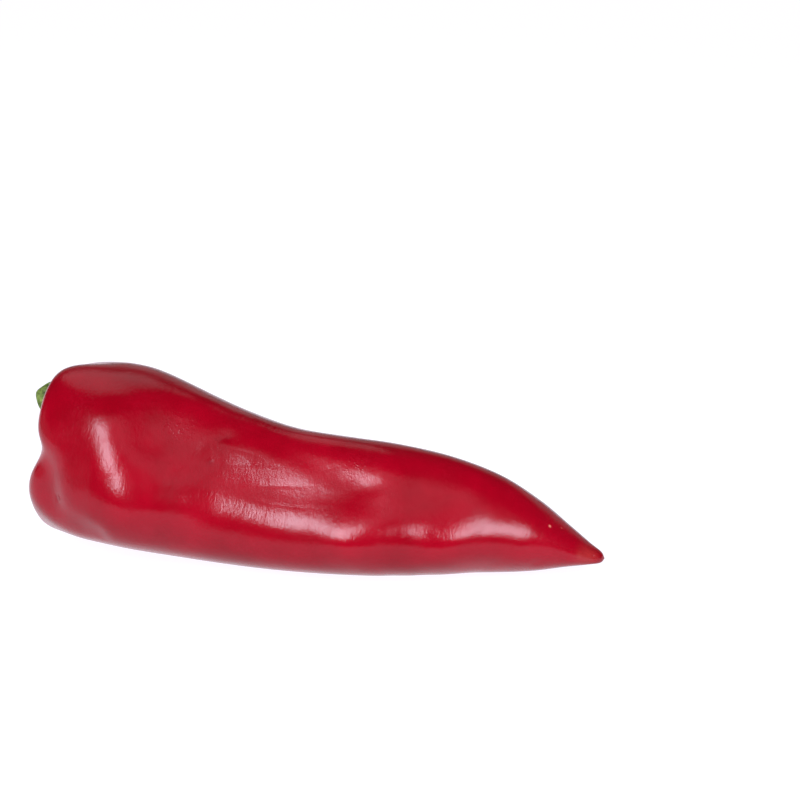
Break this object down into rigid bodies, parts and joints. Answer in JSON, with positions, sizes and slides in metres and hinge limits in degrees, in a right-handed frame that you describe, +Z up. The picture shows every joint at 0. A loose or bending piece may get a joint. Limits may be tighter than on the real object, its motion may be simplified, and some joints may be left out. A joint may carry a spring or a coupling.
{
  "type": "pointed sweet pepper",
  "caption": "Long red sweet pepper lying on its side, with lobed shoulders tapering to a pointed tip, a leafy calyx in the hollow and a cut stem.",
  "frame": {"origin": "middle of the footprint, on the surface the pepper rests on", "axes": "+Z up, +X along the pepper from the stem end to the pointed tip, -Y to the front"},
  "size_m": [0.1924, 0.065, 0.0593],
  "materials": {
    "skin": "glossy",
    "calyx": "satin",
    "stem": "satin"
  },
  "bodies": {
    "root": {"fruit": "skin", "calyx": "calyx", "stem": "stem"}
  },
  "joints": []
}
